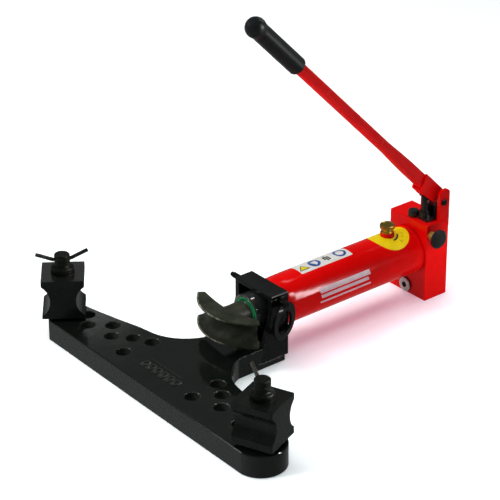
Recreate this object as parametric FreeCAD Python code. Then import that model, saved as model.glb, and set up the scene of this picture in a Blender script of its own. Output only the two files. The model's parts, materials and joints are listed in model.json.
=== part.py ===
"""Hydraulic conduit bender with a hand pump.

A flat bending frame (wing) lies on the floor.  Two corner formers stand on
pins at its ends, a bracket on its neck holds the ram cylinder, and a pump
block with a hand lever stands at the back.  The ram pushes a grooved bending
former out between the corner formers.

Frame: millimetres.  +X runs along the wing, +Y along the ram towards the
pump, +Z is up.  The origin is on the floor, midway between the two outer
former pins.
"""
import FreeCAD, Part
import math
import os

V = FreeCAD.Vector

# ---------------------------------------------------------------- dimensions
WING_T = 39.5            # thickness of the wing plate
PIN_X = 262.9            # outer former pins, distance from the middle
PIN_D = 25.0             # former pin shaft
RUN_GAP = 0.06           # radial running clearance of pins and rods
HOLE_D = PIN_D + 2 * RUN_GAP
HOLE_CHAMFER = 1.2
HOLE_PAIRS = (           # one pair of pin holes for each conduit size
    ("1", 91.5, -2.5), ("2", 87.1, 52.7), ("3", 117.6, 37.2), ("4", 145.8, 13.2),
    ("5", 173.4, 36.0), ("6", 201.8, 4.4), ("7", 230.1, 24.1))
END_R = 41.5             # rounded wing ends
NECK_HALF = 47.0         # half width of the neck and of the bracket
NECK_END_Y = 226.0

AXIS_Z = 85.5            # height of the ram axis
SIDE_T = 9.0             # bracket side plates
SIDE_FOOT_Z = 11.0
BRACKET_TOP_Z = 128.0
TOP_T = 6.5              # bracket top plate
TOP_Y0, TOP_Y1 = 197.5, 233.0
BACK_Y0 = 222.0          # front face of the bracket back plate
BACK_Y1 = 233.0

SLEEVE_R = 32.5          # nose sleeve of the cylinder
SLEEVE_Y0 = 181.0
GROOVE_R = 25.5          # lock groove round the sleeve
LOCK_Y, LOCK_Z = 214.5, 116.2
LOCK_R = 5.0             # lock pin
CYL_R = 42.5             # outside of the cylinder
CYL_Y0, CYL_Y1 = 274.0, 536.0
BARREL_R = 30.0          # inner pressure barrel
BORE_R = 24.0
BARREL_Y1 = 552.0        # the barrel screws this far into the block
ROD_R = 22.5             # ram rod

SHOE_R = 96.0            # lip radius of the bending former
SHOE_CENTRE_Y = 203.0
SHOE_HALF = 23.4         # half thickness
GROOVE_PIPE_R = 20.2     # conduit groove radius
SHOE_TURN = 3.0          # the shoe sits slightly turned on its hub
HUB_R = 23.0
HUB_Y0, HUB_Y1 = 130.0, 176.6
SPIGOT_R = 14.0          # front end of the rod, inside the hub
SPIGOT_Y = 156.0

RING_TURN = 18.0         # pull ring plane, turned from the bracket side
HEAD_X = 58.0            # middle of the slotted lock pin head
RING_R = 33.0
RING_T = 4.8
RING_DROP = 32.2         # ring centre below the lock pin
RING_HOLE_R = 20.3
RING_HOLE_DROP = 35.7
RIVET_DROP = 3.2

BLOCK_X = 46.5           # half width of the pump block
BLOCK_Y0, BLOCK_Y1 = 543.9, 595.4
BLOCK_TOP = 145.8
LEVER_X = 20.0           # plane of the lever, plunger and lugs
PIVOT_Y, PIVOT_Z = 582.0, 180.0
LEVER_ANGLE = 45.6       # lever above the horizontal at rest
LEVER_OFFSET = 6.2       # lever centre line above its pivot
BAR_R = 10.3             # round part of the lever tube
GRIP_R = 15.6
BALL_R, BALL_S = 17.4, 570.0   # ball of the grip and its distance from the pivot
PLUNGER_Y = 563.0
PLUNGER_R = 7.0
DRIVE_Z = PIVOT_Z + 1.0  # cross pin of the lever that works the plunger
DRIVE_R = 2.5
DRIVE_TRAVEL = 2.1       # the pin moves this far towards the pivot in its slot
SOCKET_HALF = 12.0       # half width of the lever socket
LUG_T = 6.5
LUG_IN = (LEVER_X - 15.0 - LUG_T, LEVER_X + 19.5)
LUG_Y0, LUG_Y1 = 572.5, 595.4
FILLER_Y = 494.0
VENT_Y = 555.5
VALVE_Y, VALVE_Z = 553.0, 126.2
PORT_X, PORT_Z = -1.5, 15.5

FORMER_SIDE = 72.0       # square corner formers
FORMER_Z0, FORMER_Z1 = 46.0, 116.2
FORMER_GROOVES = {       # chords of the two grooves, and the height of their middle above the block's
    "left": (55.0, 52.0, -2.5), "right": (47.0, 50.0, 1.0)}
FORMER_TURN = {"left": 53.6, "right": 21.95}
HANDLE_TURN = {"left": 63.0, "right": 162.0}
HANDLE_Z = 141.0         # cross handle above the wing
HANDLE_R = 3.2


# ------------------------------------------------------------------- helpers
def box(x0, x1, y0, y1, z0, z1):
    return Part.makeBox(x1 - x0, y1 - y0, z1 - z0, V(x0, y0, z0))


def ycyl(r, y0, y1, x=0.0, z=AXIS_Z):
    return Part.makeCylinder(r, y1 - y0, V(x, y0, z), V(0, 1, 0))


def zcyl(r, z0, z1, x=0.0, y=0.0):
    return Part.makeCylinder(r, z1 - z0, V(x, y, z0), V(0, 0, 1))


def xcyl(r, x0, x1, y, z):
    return Part.makeCylinder(r, x1 - x0, V(x0, y, z), V(1, 0, 0))


def turned(profile, origin, axis):
    """Solid of revolution.  profile lists (radius, station along the axis)."""
    pts = [V(r, 0, s) for r, s in profile]
    face = Part.Face(Part.makePolygon(pts + [pts[0]]))
    solid = face.revolve(V(0, 0, 0), V(0, 0, 1), 360)
    solid.Placement = FreeCAD.Placement(V(*origin), FreeCAD.Rotation(V(0, 0, 1), V(*axis)))
    return solid


def prism_x(points_yz, x0, x1):
    """Plate with a polygon outline in the YZ plane."""
    pts = [V(x0, y, z) for y, z in points_yz]
    return Part.Face(Part.makePolygon(pts + [pts[0]])).extrude(V(x1 - x0, 0, 0))


def turn_z(shape, degrees, x=0.0, y=0.0):
    out = shape.copy()
    out.rotate(V(x, y, 0), V(0, 0, 1), degrees)
    return out


def hexagon(across_flats, z0, z1, x, y):
    r = across_flats / math.sqrt(3.0)
    pts = [V(x + r * math.cos(math.radians(60 * i)), y + r * math.sin(math.radians(60 * i)), z0)
           for i in range(7)]
    return Part.Face(Part.makePolygon(pts)).extrude(V(0, 0, z1 - z0))


def soften(shape, r, keep):
    """Round the edges picked by keep(edge)."""
    edges = [e for e in shape.Edges if keep(e)]
    return shape.makeFillet(r, edges)


def save(shape, node):
    shape.exportStep("parts/" + node + ".step")


# -------------------------------------------------------------- bending frame
def arc_edge(cx, cy, r, a0, a1):
    p = [V(cx + r * math.cos(math.radians(a)), cy + r * math.sin(math.radians(a)), 0)
         for a in (a0, (a0 + a1) / 2.0, a1)]
    return Part.Arc(*p).toShape(), p[0], p[2]


def bevelled_plate(outline, thick, bevel):
    """Plate with a small bevel along its top and bottom edges."""
    inner = outline.makeOffset2D(-bevel, 2, False, False, False)
    low = Part.makeLoft([inner, outline.translated(V(0, 0, bevel))], True, True)
    mid = Part.Face(outline.translated(V(0, 0, bevel))).extrude(V(0, 0, thick - 2 * bevel))
    high = Part.makeLoft([outline.translated(V(0, 0, thick - bevel)),
                          inner.translated(V(0, 0, thick))], True, True)
    return low.fuse(mid).fuse(high).removeSplitter()


def side_plate(side):
    """Gusset plate of the bracket: vertical at the back, sloped at the front."""
    outline = [(171.0, SIDE_FOOT_Z), (BACK_Y1, SIDE_FOOT_Z), (BACK_Y1, BRACKET_TOP_Z - TOP_T),
               (TOP_Y0, BRACKET_TOP_Z - TOP_T), (TOP_Y0, 92.0)]
    x0, x1 = NECK_HALF - SIDE_T, NECK_HALF
    if side < 0:
        x0, x1 = -x1, -x0
    plate = prism_x(outline, x0, x1)
    return plate.cut(xcyl(LOCK_R + RUN_GAP, -60, 60, LOCK_Y, LOCK_Z))


def bending_frame():
    """Wing plate: straight front, rounded ends, waisted neck, paired pin holes."""
    right, r0, r1 = arc_edge(PIN_X, -3.5, END_R + 1.3, -84, 66)
    left, l0, l1 = arc_edge(-PIN_X, 0, END_R, 118, 180)
    back = [(226, 47), (182, 57), (140, 68), (118, 71.5)]
    waist = (72.0, 92.0)
    edges = [right]
    chain = [r1] + [V(x, y, 0) for x, y in back]
    edges += [Part.makeLine(a, b) for a, b in zip(chain, chain[1:])]
    edges.append(Part.Arc(chain[-1], V(waist[0], waist[1], 0), V(NECK_HALF, 128, 0)).toShape())
    neck = [V(NECK_HALF, 128, 0), V(NECK_HALF, NECK_END_Y, 0), V(-NECK_HALF, NECK_END_Y, 0),
            V(-NECK_HALF, 128, 0)]
    edges += [Part.makeLine(a, b) for a, b in zip(neck, neck[1:])]
    edges.append(Part.Arc(neck[-1], V(-waist[0], waist[1], 0), V(-118, 71.5, 0)).toShape())
    chain = [V(-x, y, 0) for x, y in reversed(back)] + [l0]
    edges += [Part.makeLine(a, b) for a, b in zip(chain, chain[1:])]
    edges.append(left)
    front = [l1, V(-258, -36.5, 0), V(20, -42.0, 0), r0]
    edges += [Part.makeLine(a, b) for a, b in zip(front, front[1:])]
    plate = bevelled_plate(Part.Wire(Part.__sortEdges__(edges)), WING_T, 1.4)
    for x, y in pin_holes():
        plate = plate.cut(zcyl(HOLE_D / 2, -1, WING_T + 1, x, y))
        for z, top in ((WING_T, True), (0, False)):
            r = HOLE_D / 2
            c = HOLE_CHAMFER
            cone = (Part.makeCone(r, r + c, c, V(x, y, z - c)) if top
                    else Part.makeCone(r + c, r, c, V(x, y, z)))
            plate = plate.cut(cone)
    for side in (-1, 1):
        plate = plate.cut(prism_x([(171.0, SIDE_FOOT_Z), (240, SIDE_FOOT_Z), (240, 60),
                                   (171.0 + 49 * 26.5 / 81.0, 60)],
                                  *((NECK_HALF - SIDE_T, NECK_HALF + 1) if side > 0
                                    else (-NECK_HALF - 1, -NECK_HALF + SIDE_T))))
    return plate


def pin_holes():
    spots = [(s * PIN_X, 0.0) for s in (-1, 1)]
    for _, x, y in HOLE_PAIRS:
        spots += [(-x, y), (x, y)]
    return spots


def bracket_top():
    plate = box(-NECK_HALF, NECK_HALF, TOP_Y0, TOP_Y1, BRACKET_TOP_Z - TOP_T, BRACKET_TOP_Z)
    return soften(plate, 1.2, lambda e: e.BoundBox.ZMin > BRACKET_TOP_Z - 0.01)


def bracket_back():
    inner = NECK_HALF - SIDE_T
    plate = box(-inner, inner, BACK_Y0, BACK_Y1, WING_T, BRACKET_TOP_Z - TOP_T)
    return plate.cut(ycyl(SLEEVE_R, BACK_Y0 - 1, BACK_Y1 + 1))


# ------------------------------------------------------------------ cylinder
def nose_sleeve():
    """Turned sleeve that carries the rod; the lock pin drops into its groove."""
    half = LOCK_R + 0.6
    prof = [(ROD_R + RUN_GAP, 188.0), (ROD_R + RUN_GAP, 258.0), (SLEEVE_R, 258.0),
            (SLEEVE_R, LOCK_Y + half), (GROOVE_R, LOCK_Y + half), (GROOVE_R, LOCK_Y - half),
            (SLEEVE_R, LOCK_Y - half), (SLEEVE_R, SLEEVE_Y0 + 1.2), (SLEEVE_R - 1.0, SLEEVE_Y0),
            (31.2, SLEEVE_Y0), (31.2, 188.0)]
    return turned(prof, (0, 0, AXIS_Z), (0, 1, 0))


def nose_ring():
    prof = [(27.2, 181.6), (28.0, 180.6), (30.6, 180.6), (31.2, 181.4), (31.2, 188.0), (27.2, 188.0)]
    return turned(prof, (0, 0, AXIS_Z), (0, 1, 0))


def wiper_seal():
    inner = ROD_R + RUN_GAP
    prof = [(inner, 183.6), (inner + 1.4, 182.0), (26.2, 182.0), (27.2, 183.0), (27.2, 188.0),
            (inner, 188.0)]
    return turned(prof, (0, 0, AXIS_Z), (0, 1, 0))


def cylinder_front_cap():
    """Shouldered cap that closes the front of the oil jacket."""
    prof = [(SLEEVE_R, BACK_Y1), (36.0, BACK_Y1), (38.0, 233.6), (39.6, 235.2), (40.7, 237.8),
            (41.4, 241.5), (41.9, 247.0), (42.3, 256.0), (CYL_R, CYL_Y0), (BARREL_R, CYL_Y0),
            (BARREL_R, 258.0), (SLEEVE_R, 258.0)]
    return turned(prof, (0, 0, AXIS_Z), (0, 1, 0))


def cylinder_tube():
    tube = ycyl(CYL_R, CYL_Y0, CYL_Y1).cut(ycyl(CYL_R - 4, CYL_Y0, CYL_Y1))
    return tube.cut(zcyl(9.0, AXIS_Z, AXIS_Z + 60, 0, FILLER_Y))


def cylinder_rear_collar():
    prof = [(BARREL_R, CYL_Y1), (CYL_R, CYL_Y1), (CYL_R + 0.8, CYL_Y1 + 1.2), (CYL_R + 0.8, 541.0),
            (CYL_R - 0.6, BLOCK_Y0), (BARREL_R, BLOCK_Y0)]
    return turned(prof, (0, 0, AXIS_Z), (0, 1, 0))


def pressure_barrel():
    return ycyl(BARREL_R, 258.0, BARREL_Y1).cut(ycyl(BORE_R, 258.0, BARREL_Y1))


# ----------------------------------------------------------------------- ram
def ram_rod():
    """Hollow chromed rod; the front end is closed and carries the former."""
    rod = ycyl(ROD_R, HUB_Y1, 522.0).fuse(ycyl(SPIGOT_R, SPIGOT_Y, HUB_Y1))
    rod = rod.cut(ycyl(13.0, 200.0, 522.0))
    return rod.removeSplitter()


def ram_piston():
    prof = [(0.0, 522.0), (BORE_R - RUN_GAP, 522.0), (BORE_R - RUN_GAP, 527.0), (21.0, 527.0),
            (21.0, 532.0), (BORE_R - RUN_GAP, 532.0), (BORE_R - RUN_GAP, 542.0), (0.0, 542.0)]
    return turned(prof, (0, 0, AXIS_Z), (0, 1, 0))


def piston_seal():
    prof = [(21.0, 527.0), (BORE_R - 0.04, 527.0), (BORE_R - 0.04, 532.0), (21.0, 532.0)]
    return turned(prof, (0, 0, AXIS_Z), (0, 1, 0))


def bending_former():
    """Crescent shoe with a half-round conduit groove and a hub for the rod."""
    a = math.radians(51.4)
    tip = (SHOE_R * math.sin(a), SHOE_CENTRE_Y - SHOE_R * math.cos(a))
    heel = (tip[0] - 8.0, tip[1] + 9.0)
    arc = Part.Arc(V(-tip[0], tip[1], 0), V(0, SHOE_CENTRE_Y - SHOE_R, 0),
                   V(tip[0], tip[1], 0)).toShape()
    back = [V(tip[0], tip[1], 0), V(heel[0], heel[1], 0), V(34, 144.5, 0), V(0, 139.5, 0),
            V(-34, 144.5, 0), V(-heel[0], heel[1], 0), V(-tip[0], tip[1], 0)]
    lines = [Part.makeLine(p, q) for p, q in zip(back, back[1:])]
    crescent = Part.Face(Part.Wire([arc] + lines)).extrude(V(0, 0, 2 * SHOE_HALF))
    crescent.translate(V(0, 0, AXIS_Z - SHOE_HALF))
    rim = [e for e in crescent.Edges
           if abs(e.BoundBox.ZMin - e.BoundBox.ZMax) < 1e-6 and e.BoundBox.YMin < 120]
    crescent = crescent.makeFillet(1.4, rim)
    centre = V(0, SHOE_CENTRE_Y, AXIS_Z)
    wall = Part.makeTorus(SHOE_R + 1.0, GROOVE_PIPE_R + 4.5, centre, V(0, 0, 1), -180, 180, 101)
    wall.rotate(centre, V(0, 0, 1), -90 - 50.5)
    slab = box(-90, 90, 100, 200, AXIS_Z - SHOE_HALF, AXIS_Z + SHOE_HALF)
    slab = slab.common(zcyl(SHOE_R - 2, 0, 200, 0, SHOE_CENTRE_Y))
    shoe = crescent.fuse(wall.common(slab)).removeSplitter()
    groove = Part.makeTorus(SHOE_R + 1.0, GROOVE_PIPE_R, centre, V(0, 0, 1))
    shoe, groove = (turn_z(part, SHOE_TURN, 0, 150.0) for part in (shoe, groove))
    hub = ycyl(HUB_R, HUB_Y0, HUB_Y1)
    hub = hub.makeChamfer(0.8, [e for e in hub.Edges if e.BoundBox.YMin > HUB_Y1 - 0.1])
    body = shoe.fuse(hub).cut(groove)
    body = body.cut(ycyl(SPIGOT_R, SPIGOT_Y, HUB_Y1 + 1))
    return body.cut(zcyl(4.0, AXIS_Z - 30, AXIS_Z, 0, 163.0)).removeSplitter()


def former_screw():
    """Set screw, from below, that holds the bending former on the end of the rod."""
    screw = zcyl(4.0, AXIS_Z - 22.0, AXIS_Z - 14.0, 0, 163.0)
    return screw.cut(hexagon(4.0, AXIS_Z - 23.0, AXIS_Z - 18.5, 0, 163.0))


# ------------------------------------------------------------- corner formers
def corner_former(name):
    """Square block with two different half-round grooves and two flat faces."""
    s = FORMER_SIDE / 2
    block = box(-s, s, -s, s, FORMER_Z0, FORMER_Z1)
    block = soften(block, 1.6, lambda e: e.BoundBox.ZLength > 60)
    near, far, lift = FORMER_GROOVES[name]
    mid = (FORMER_Z0 + FORMER_Z1) / 2 + lift
    for chord, sign in ((near, -1), (far, 1)):
        depth = 14.5
        r = ((chord / 2) ** 2 + depth ** 2) / (2 * depth)
        block = block.cut(xcyl(r, -60, 60, sign * (s + r - depth), mid))
    block = block.fuse(zcyl(24.0, WING_T, FORMER_Z0))
    block = block.cut(zcyl(HOLE_D / 2, 0, 200))
    sx = PIN_X if name == "right" else -PIN_X
    turn = FORMER_TURN[name] if name == "right" else FORMER_TURN[name] - 90
    block = turn_z(block, turn)
    block.translate(V(sx, 0, 0))
    return block


def former_pin(name):
    """Pin with a shouldered head; it lifts out of the former and the wing."""
    r = PIN_D / 2
    prof = [(0, 3.0), (r - 1.5, 3.0), (r, 4.5), (r, 118.6), (18.2, 118.6), (19.4, 119.8),
            (19.4, 126.4), (18.4, 127.8), (14.4, 129.8), (13.2, 131.4), (13.2, 148.5), (12.0, 149.8),
            (0, 149.8)]
    pin = turned(prof, (0, 0, 0), (0, 0, 1))
    pin = pin.cut(xcyl(HANDLE_R, -20, 20, 0, HANDLE_Z))
    return place_pin(pin, name)


def pin_handle(name):
    """Round bar through the pin head with both ends bent up."""
    r, half, run, rise = HANDLE_R, 15.0, 28.6, 12.2
    bar = xcyl(r, -half, half, 0, HANDLE_Z)
    length = math.hypot(run, rise)
    for s in (-1, 1):
        leg = Part.makeCylinder(r, length, V(s * half, 0, HANDLE_Z), V(s * run, 0, rise))
        bar = bar.fuse(leg).fuse(Part.makeSphere(r, V(s * half, 0, HANDLE_Z)))
    return place_pin(bar.removeSplitter(), name)


def former_washer(name):
    ring = zcyl(20.0, FORMER_Z1, 118.6).cut(zcyl(HOLE_D / 2, 100, 130))
    return place_pin(ring, name)


def place_pin(shape, name):
    out = turn_z(shape, HANDLE_TURN[name])
    out.translate(V(PIN_X if name == "right" else -PIN_X, 0, 0))
    return out


# ------------------------------------------------------------------ lock pin
def in_ring_plane(shape):
    """Turn a piece about the vertical through the lock pin head."""
    return turn_z(shape, RING_TURN, HEAD_X, LOCK_Y)


def ring_slot(width):
    return in_ring_plane(box(HEAD_X - width / 2, HEAD_X + width / 2, LOCK_Y - 20, LOCK_Y + 20,
                             LOCK_Z - 20, LOCK_Z + 3.6))


def lock_pin():
    h = HEAD_X - 10.0
    prof = [(0, -79.0), (2.0, -79.0), (4.0, -76.5), (LOCK_R, -71.0), (LOCK_R, h), (6.2, h),
            (6.8, h + 0.6), (6.8, h + 15.2), (5.6, h + 16.4), (0, h + 16.4)]
    pin = turned(prof, (0, LOCK_Y, LOCK_Z), (1, 0, 0))
    return pin.cut(ring_slot(RING_T + 0.6)).cut(rivet_bore(2.05))


def rivet_bore(r):
    return in_ring_plane(xcyl(r, HEAD_X - 9, HEAD_X + 9, LOCK_Y, LOCK_Z - RIVET_DROP))


def ring_rivet():
    return in_ring_plane(xcyl(2.05, HEAD_X - 5.0, HEAD_X + 5.0, LOCK_Y, LOCK_Z - RIVET_DROP))


def pull_ring():
    """Flat ring that hangs from the slotted head of the lock pin."""
    ring = xcyl(RING_R, HEAD_X - RING_T / 2, HEAD_X + RING_T / 2, LOCK_Y, LOCK_Z - RING_DROP)
    ring = ring.cut(xcyl(RING_HOLE_R, 0, 100, LOCK_Y, LOCK_Z - RING_HOLE_DROP))
    ring = soften(ring, 1.2, lambda e: e.Length > 100)
    return in_ring_plane(ring.cut(xcyl(2.15, 0, 100, LOCK_Y, LOCK_Z - RIVET_DROP)))


# ---------------------------------------------------------------- pump block
def pump_block():
    """Block with the barrel pocket, plunger bore and valve ports."""
    b = box(-BLOCK_X, BLOCK_X, BLOCK_Y0, BLOCK_Y1, 0, BLOCK_TOP)
    b = b.makeChamfer(1.0, b.Edges)
    b = b.cut(ycyl(BARREL_R, BLOCK_Y0 - 1, BARREL_Y1))
    b = b.cut(zcyl(PLUNGER_R + RUN_GAP, 88, BLOCK_TOP + 1, LEVER_X, PLUNGER_Y))
    b = b.cut(zcyl(2.5, 74, 90, LEVER_X - 3, PLUNGER_Y))
    b = b.cut(ycyl(2.5, BARREL_Y1 - 1, PLUNGER_Y, LEVER_X - 3, 76.0))
    b = b.cut(zcyl(5.0, BLOCK_TOP - 12, BLOCK_TOP + 1, 0, VENT_Y))
    b = b.cut(xcyl(5.6, 29.0, BLOCK_X + 1, VALVE_Y, VALVE_Z))
    b = b.cut(ycyl(8.0, BLOCK_Y0 - 1, BLOCK_Y0 + 13, PORT_X, PORT_Z))
    for x0 in LUG_IN:
        b = b.cut(box(x0, x0 + LUG_T, LUG_Y0, 597.0, 133.0, BLOCK_TOP + 1))
    return b


def lever_lug(side):
    """Lug let into the top of the block; it carries the pivot bolt."""
    x0 = LUG_IN[0] if side < 0 else LUG_IN[1]
    outline = [(LUG_Y0, 133.0), (LUG_Y1, 133.0), (LUG_Y1, 198.0), (LUG_Y1 - 4.5, 202.6),
               (LUG_Y0 + 6.0, 202.6), (LUG_Y0, 196.0)]
    plate = prism_x(outline, x0, x0 + LUG_T)
    plate = soften(plate, 3.0, lambda e: e.BoundBox.XLength > LUG_T - 0.1 and e.BoundBox.ZMin > 190)
    return plate.cut(xcyl(5.0, -60, 60, PIVOT_Y, PIVOT_Z))


def pivot_bolt():
    bolt = xcyl(5.0, LUG_IN[0] - 6.0, LUG_IN[1] + LUG_T, PIVOT_Y, PIVOT_Z)
    x1 = LUG_IN[1] + LUG_T
    head = turned([(0, x1), (6.0, x1), (6.0, x1 + 1.6), (4.8, x1 + 2.4), (0, x1 + 2.4)],
                  (0, PIVOT_Y, PIVOT_Z), (1, 0, 0))
    return bolt.fuse(head).removeSplitter()


def pivot_nut():
    nut = hexagon(15.0, 0, 6.0, 0, 0).cut(zcyl(5.0, -1, 8))
    nut.rotate(V(0, 0, 0), V(0, 1, 0), -90)
    nut.translate(V(LUG_IN[0], PIVOT_Y, PIVOT_Z))
    return nut


def pivot_spacer(side):
    """Sleeve on the bolt between the lever socket and a lug."""
    x0 = LEVER_X - 15.0 if side < 0 else LEVER_X + SOCKET_HALF + 0.2
    x1 = LEVER_X - SOCKET_HALF - 0.2 if side < 0 else LUG_IN[1]
    return xcyl(8.5, x0, x1, PIVOT_Y, PIVOT_Z).cut(xcyl(5.0, -60, 60, PIVOT_Y, PIVOT_Z))


def port_plug():
    prof = [(0, 0.0), (12.4, 0.0), (12.8, 0.5), (12.8, 2.4), (8.0, 2.4), (8.0, 15.0), (0, 15.0)]
    plug = turned(prof, (PORT_X, BLOCK_Y0 - 4.4, PORT_Z), (0, 1, 0))
    socket = hexagon(10.0, 0, 5.0, 0, 0)
    socket.rotate(V(0, 0, 0), V(1, 0, 0), -90)
    socket.translate(V(PORT_X, BLOCK_Y0 - 5.0, PORT_Z))
    return plug.cut(socket)


def port_washer():
    return ycyl(13.4, BLOCK_Y0 - 2.0, BLOCK_Y0, PORT_X, PORT_Z).cut(
        ycyl(8.0, BLOCK_Y0 - 3, BLOCK_Y0 + 1, PORT_X, PORT_Z))


# ------------------------------------------------------- valves, caps, pump
def valve_seat():
    """Threaded brass seat in the side of the block."""
    prof = [(4.06, 36.0), (5.6, 36.0), (5.6, 46.5), (7.6, 46.5), (7.6, 50.5), (4.06, 50.5)]
    return turned(prof, (0, VALVE_Y, VALVE_Z), (1, 0, 0))


def valve_stem():
    """Release-valve spindle with a cone tip and a ribbed brass collar."""
    prof = [(0, 30.0), (1.2, 30.0), (4.0, 34.5), (4.0, 50.8), (6.8, 50.8), (6.8, 62.0), (3.0, 62.0),
            (3.0, 66.0), (0, 66.0)]
    stem = turned(prof, (0, VALVE_Y, VALVE_Z), (1, 0, 0))
    for i in range(18):
        a = 2 * math.pi * i / 18
        stem = stem.cut(xcyl(0.7, 52.0, 61.0, VALVE_Y + 6.9 * math.cos(a), VALVE_Z + 6.9 * math.sin(a)))
    return stem


def valve_knob():
    prof = [(3.0, 62.0), (14.6, 62.0), (17.0, 63.6), (17.0, 67.6), (14.5, 70.0), (8.0, 71.2),
            (0, 71.5), (0, 66.0), (3.0, 66.0)]
    return turned(prof, (0, VALVE_Y, VALVE_Z), (1, 0, 0))


def vent_knob():
    prof = [(0, 134.5), (4.94, 134.5), (4.94, BLOCK_TOP + 0.05), (9.0, BLOCK_TOP + 0.05),
            (9.6, 147.0), (9.6, 155.5), (8.2, 157.2), (0, 157.6)]
    knob = turned(prof, (0, VENT_Y, 0), (0, 0, 1))
    for i in range(16):
        a = 2 * math.pi * i / 16
        knob = knob.cut(zcyl(0.6, 148.0, 155.0, 9.9 * math.cos(a), VENT_Y + 9.9 * math.sin(a)))
    return knob


def filler_boss():
    """Round boss on top of the jacket for the oil filler."""
    boss = zcyl(12.0, AXIS_Z + 30, 134.0, 0, FILLER_Y).cut(ycyl(CYL_R, 460, 520))
    return boss.cut(zcyl(9.0, AXIS_Z, 140, 0, FILLER_Y))


def filler_neck():
    ring = zcyl(9.0, 124.5, 134.0, 0, FILLER_Y).fuse(zcyl(10.5, 134.0, 136.2, 0, FILLER_Y))
    return ring.removeSplitter().cut(zcyl(6.06, 120, 140, 0, FILLER_Y))


def filler_cap():
    prof = [(0, 127.0), (6.0, 127.0), (6.0, 136.25), (8.8, 136.25), (8.8, 140.6), (12.4, 141.6),
            (13.2, 142.6), (13.2, 147.6), (12.2, 148.8), (10.8, 149.0), (10.2, 148.2), (0, 148.0)]
    cap = turned(prof, (0, FILLER_Y, 0), (0, 0, 1))
    for i in range(30):
        a = 2 * math.pi * i / 30
        cap = cap.cut(zcyl(0.55, 143.0, 147.2, 13.4 * math.cos(a), FILLER_Y + 13.4 * math.sin(a)))
    return cap


def pump_plunger():
    """Plunger with a slotted eye for the lever's drive pin."""
    rod = zcyl(PLUNGER_R, 100.0, DRIVE_Z + 8.5, LEVER_X, PLUNGER_Y)
    rod = soften(rod, 4.0, lambda e: e.BoundBox.ZMin > DRIVE_Z + 8)
    r = DRIVE_R + 0.55
    slot = box(LEVER_X - 9, LEVER_X + 9, PLUNGER_Y, PLUNGER_Y + DRIVE_TRAVEL, DRIVE_Z - r, DRIVE_Z + r)
    for dy in (0.0, DRIVE_TRAVEL):
        slot = slot.fuse(xcyl(r, LEVER_X - 9, LEVER_X + 9, PLUNGER_Y + dy, DRIVE_Z))
    return rod.cut(slot)


def plunger_gland():
    """Gland round the plunger on top of the block, with its clamp foot."""
    x0, x1 = LEVER_X - 13.5, LEVER_X + 17.0
    base = box(x0, x1, PLUNGER_Y - 10.0, BLOCK_Y1 - 2.0, BLOCK_TOP, 151.0)
    base = soften(base, 4.0, lambda e: e.BoundBox.ZLength > 3 and e.BoundBox.YMin < PLUNGER_Y)
    collar = zcyl(9.6, 151.0, 161.0, LEVER_X, PLUNGER_Y)
    body = base.fuse(collar).cut(zcyl(PLUNGER_R + RUN_GAP, 140, 165, LEVER_X, PLUNGER_Y))
    return body.cut(zcyl(10.4, 140, 160, 0, VENT_Y)).removeSplitter()


def pump_head():
    """Valve housing behind the plunger, between the lugs."""
    head = box(LEVER_X - 13.0, LEVER_X + 16.5, 573.2, 592.5, 151.0, 168.6)
    return soften(head, 2.0, lambda e: e.BoundBox.ZMin > 168.5)


# --------------------------------------------------------------------- lever
def lever_frame(shape):
    """Move a piece drawn upright along +Z from the pivot into the lever line."""
    out = shape.copy()
    out.rotate(V(0, 0, 0), V(1, 0, 0), 90 - LEVER_ANGLE)
    out.translate(V(LEVER_X, PIVOT_Y, PIVOT_Z))
    return out


def lever_socket():
    """Folded plate socket: two cheeks on the pivot bolt and a front web.

    Drawn with the lever along +Z and the lever centre line at y = +offset.
    """
    c = LEVER_OFFSET
    w, t = SOCKET_HALF, 4.0
    outline = [(-8.0, -6.5), (2.0, -9.0), (8.5, -5.5), (c + 13.2, 8.0), (c + 13.2, 60.0),
               (c - 15.5, 49.0), (c - 17.0, 30.0)]
    cheeks = prism_x(outline, -w, -w + t).fuse(prism_x(outline, w - t, w))
    web = box(-w, w, c - 16.6, c - 12.6, 31.0, 47.0)
    body = cheeks.fuse(web).removeSplitter()
    body = body.cut(xcyl(5.0 + RUN_GAP, -30, 30, 0, 0))
    return lever_frame(body)


def drive_pin():
    """Cross pin between the cheeks that works the plunger."""
    return xcyl(DRIVE_R, LEVER_X - SOCKET_HALF + 4.0, LEVER_X + SOCKET_HALF - 4.0, PLUNGER_Y, DRIVE_Z)


def lever_tube():
    """Round tube whose lower end is squeezed flat to fit between the cheeks."""
    c = LEVER_OFFSET
    low = rounded_rect(15.8, 24.6, 5.0, 27.0)
    mid = rounded_rect(15.8, 24.6, 5.0, 100.0)
    mid2 = rounded_rect(18.6, 23.2, 7.6, 135.0)
    top = rounded_rect(2 * BAR_R, 2 * BAR_R, BAR_R - 0.01, 172.0)
    lower = Part.makeLoft([low, mid], True, True)
    taper = Part.makeLoft([mid, mid2, top], True, True)
    upper = zcyl(BAR_R, 172.0, 484.0)
    tube = lower.fuse(taper).fuse(upper).removeSplitter()
    tube.translate(V(0, c, 0))
    return lever_frame(tube)


def rounded_rect(wx, wy, r, z):
    """Closed outline, wx by wy, with corner radius r at height z."""
    x, y = wx / 2 - r, wy / 2 - r
    corners = []
    for cx, cy, start in ((x, y, 0), (-x, y, 90), (-x, -y, 180), (x, -y, 270)):
        turns = [math.radians(start + step) for step in (0, 45, 90)]
        corners.append([V(cx + r * math.cos(a), cy + r * math.sin(a), z) for a in turns])
    edges = []
    for corner, following in zip(corners, corners[1:] + corners[:1]):
        edges += [Part.Arc(*corner).toShape(), Part.makeLine(corner[2], following[0])]
    return Part.Wire(edges)


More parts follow.
